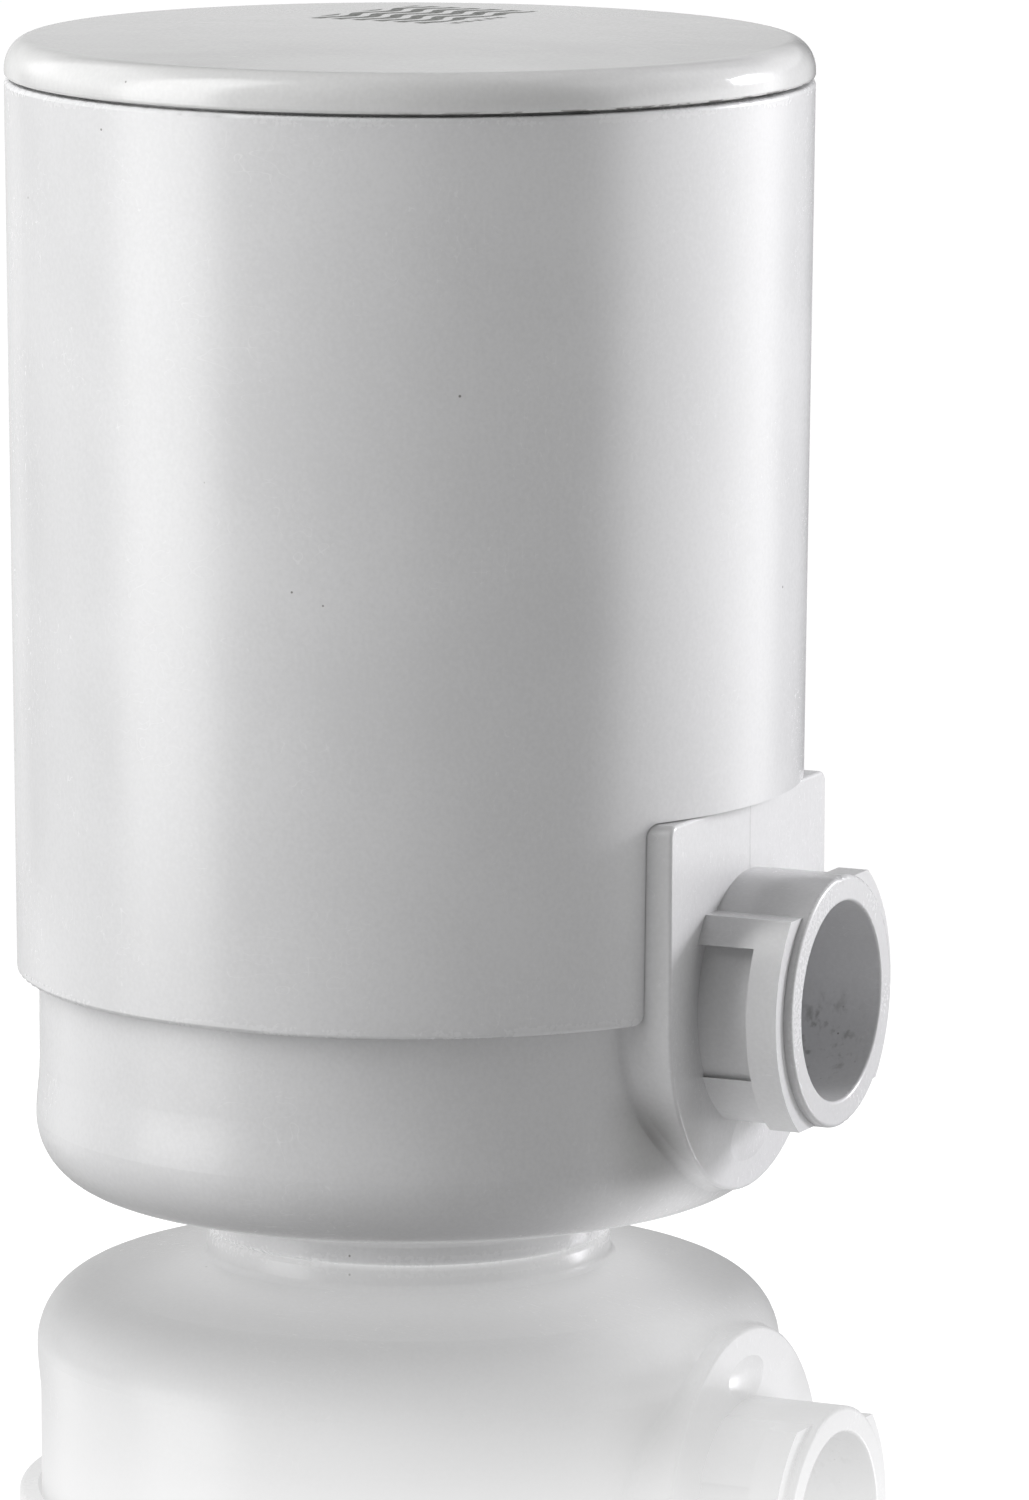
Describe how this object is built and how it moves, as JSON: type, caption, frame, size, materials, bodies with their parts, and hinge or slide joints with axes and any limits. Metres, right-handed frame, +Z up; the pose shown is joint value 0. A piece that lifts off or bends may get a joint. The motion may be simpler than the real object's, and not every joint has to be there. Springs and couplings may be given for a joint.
{
  "type": "tap water filter cartridge",
  "caption": "Cylindrical tap water filter cartridge with a bayonet inlet spigot low on one side, a plain sleeve, a rounded cap and an outlet in its foot.",
  "frame": {"origin": "centre of the foot's underside, on the body's axis and on the outlet's axis", "axes": "+Z up along the body's axis, +X out along the side inlet port"},
  "size_m": [0.0718, 0.066, 0.0991],
  "materials": {
    "white_shell": "glossy white moulding",
    "natural_plastic": "natural white moulding",
    "grey_plastic": "light grey moulding",
    "seal_rubber": "black seal rubber",
    "carbon": "pressed carbon",
    "fleece": "non-woven fleece",
    "hollow_fibre": "white hollow fibre",
    "potting_resin": "amber resin",
    "spring_steel": "drawn wire"
  },
  "bodies": {
    "cartridge": {"housing_body": "white_shell", "outer_sleeve": "white_shell", "top_cap": "white_shell", "housing_lid": "natural_plastic", "lid_o_ring": "seal_rubber", "hold_down_pad": "seal_rubber", "carbon_top_end_cap": "natural_plastic", "carbon_block": "carbon", "prefilter_wrap": "fleece", "core_tube": "natural_plastic", "carbon_bottom_end_cap": "natural_plastic", "end_cap_o_ring": "seal_rubber", "fibre_case": "natural_plastic", "case_o_ring": "seal_rubber", "fibre_bundle": "hollow_fibre", "fibre_potting": "potting_resin", "outlet_diffuser": "grey_plastic", "outlet_retainer_ring": "grey_plastic", "valve_seat": "grey_plastic", "valve_seat_o_ring": "seal_rubber", "inlet_strainer": "grey_plastic", "valve_cage": "grey_plastic", "valve_spring": "spring_steel"},
    "check_valve": {"valve_poppet": "natural_plastic", "valve_seal": "seal_rubber"}
  },
  "joints": [
    {"name": "inlet_valve_travel", "type": "slide", "parent": "cartridge", "child": "check_valve", "axis": [-1, 0, 0], "range_m": [0, 0.0025], "stiffness_N_per_m": 80, "springref_m": -0.004, "deforming": ["valve_spring"]}
  ]
}
